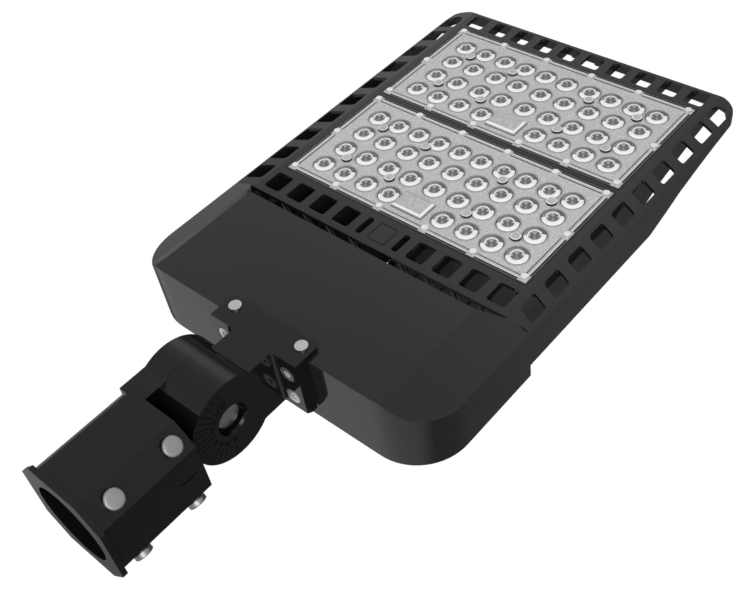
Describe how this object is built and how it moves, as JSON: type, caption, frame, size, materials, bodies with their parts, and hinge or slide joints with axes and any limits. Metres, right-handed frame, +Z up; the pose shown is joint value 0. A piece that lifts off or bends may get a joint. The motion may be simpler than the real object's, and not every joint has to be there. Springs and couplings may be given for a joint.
{
  "type": "area floodlight",
  "caption": "Flat black LED area floodlight with a vented finned housing, lens modules and a tilting slip-fitter arm for a pole tenon.",
  "frame": {"origin": "centre of the tenon bore's mouth", "axes": "+Z up the bore's axis towards the head's far edge, -Y the way the lit face looks, +X along the tilt axis towards the angle scale"},
  "size_m": [0.2974, 0.0833, 0.5996],
  "materials": {
    "black_casting": "fine satin powder coat",
    "steel": "bright zinc plate",
    "seal": "matte",
    "clear_lens": "clear moulded",
    "board": "white lacquer",
    "lamp": "yellow phosphor",
    "white_plastic": "moulded",
    "driver_case": "plain",
    "black_plastic": "moulded",
    "lead_cover": "smooth"
  },
  "bodies": {
    "slip_fitter": {"slipfitter_casting": "black_casting", "tilt_bolt": "steel", "tilt_washer": "steel", "tilt_nut": "steel"},
    "head": {"head_bracket": "black_casting", "bracket_gasket": "seal", "plate_screws": "steel", "flange_bolts": "steel", "housing": "black_casting", "back_cover": "black_casting", "cover_gasket": "seal", "cover_screws": "steel", "led_driver": "driver_case", "driver_screws": "steel", "surge_protector": "black_plastic", "surge_screws": "steel", "terminal_block": "white_plastic", "terminal_screws": "steel", "led_leads": "lead_cover", "near_gasket": "seal", "near_board": "board", "near_leds": "lamp", "near_connector": "white_plastic", "near_lens": "clear_lens", "near_screws": "steel", "far_gasket": "seal", "far_board": "board", "far_leds": "lamp", "far_connector": "white_plastic", "far_lens": "clear_lens", "far_screws": "steel"},
    "clamp_body_1": {"clamp_screw_1": "steel"},
    "clamp_body_2": {"clamp_screw_2": "steel"},
    "clamp_body_3": {"clamp_screw_3": "steel"},
    "clamp_body_4": {"clamp_screw_4": "steel"}
  },
  "joints": [
    {"name": "head_tilt", "type": "hinge", "parent": "slip_fitter", "child": "head", "pos_m": [0, 0, 0.1208], "axis": [1, 0, 0], "range_deg": [-90, 90]},
    {"name": "clamp_1_travel", "type": "slide", "parent": "slip_fitter", "child": "clamp_body_1", "axis": [0.7071, -0.7071, 0], "range_m": [-0.0015, 0.005]},
    {"name": "clamp_2_travel", "type": "slide", "parent": "slip_fitter", "child": "clamp_body_2", "axis": [0.7071, -0.7071, 0], "range_m": [-0.0015, 0.005]},
    {"name": "clamp_3_travel", "type": "slide", "parent": "slip_fitter", "child": "clamp_body_3", "axis": [0.7071, 0.7071, 0], "range_m": [-0.0015, 0.005]},
    {"name": "clamp_4_travel", "type": "slide", "parent": "slip_fitter", "child": "clamp_body_4", "axis": [0.7071, 0.7071, 0], "range_m": [-0.0015, 0.005]}
  ]
}
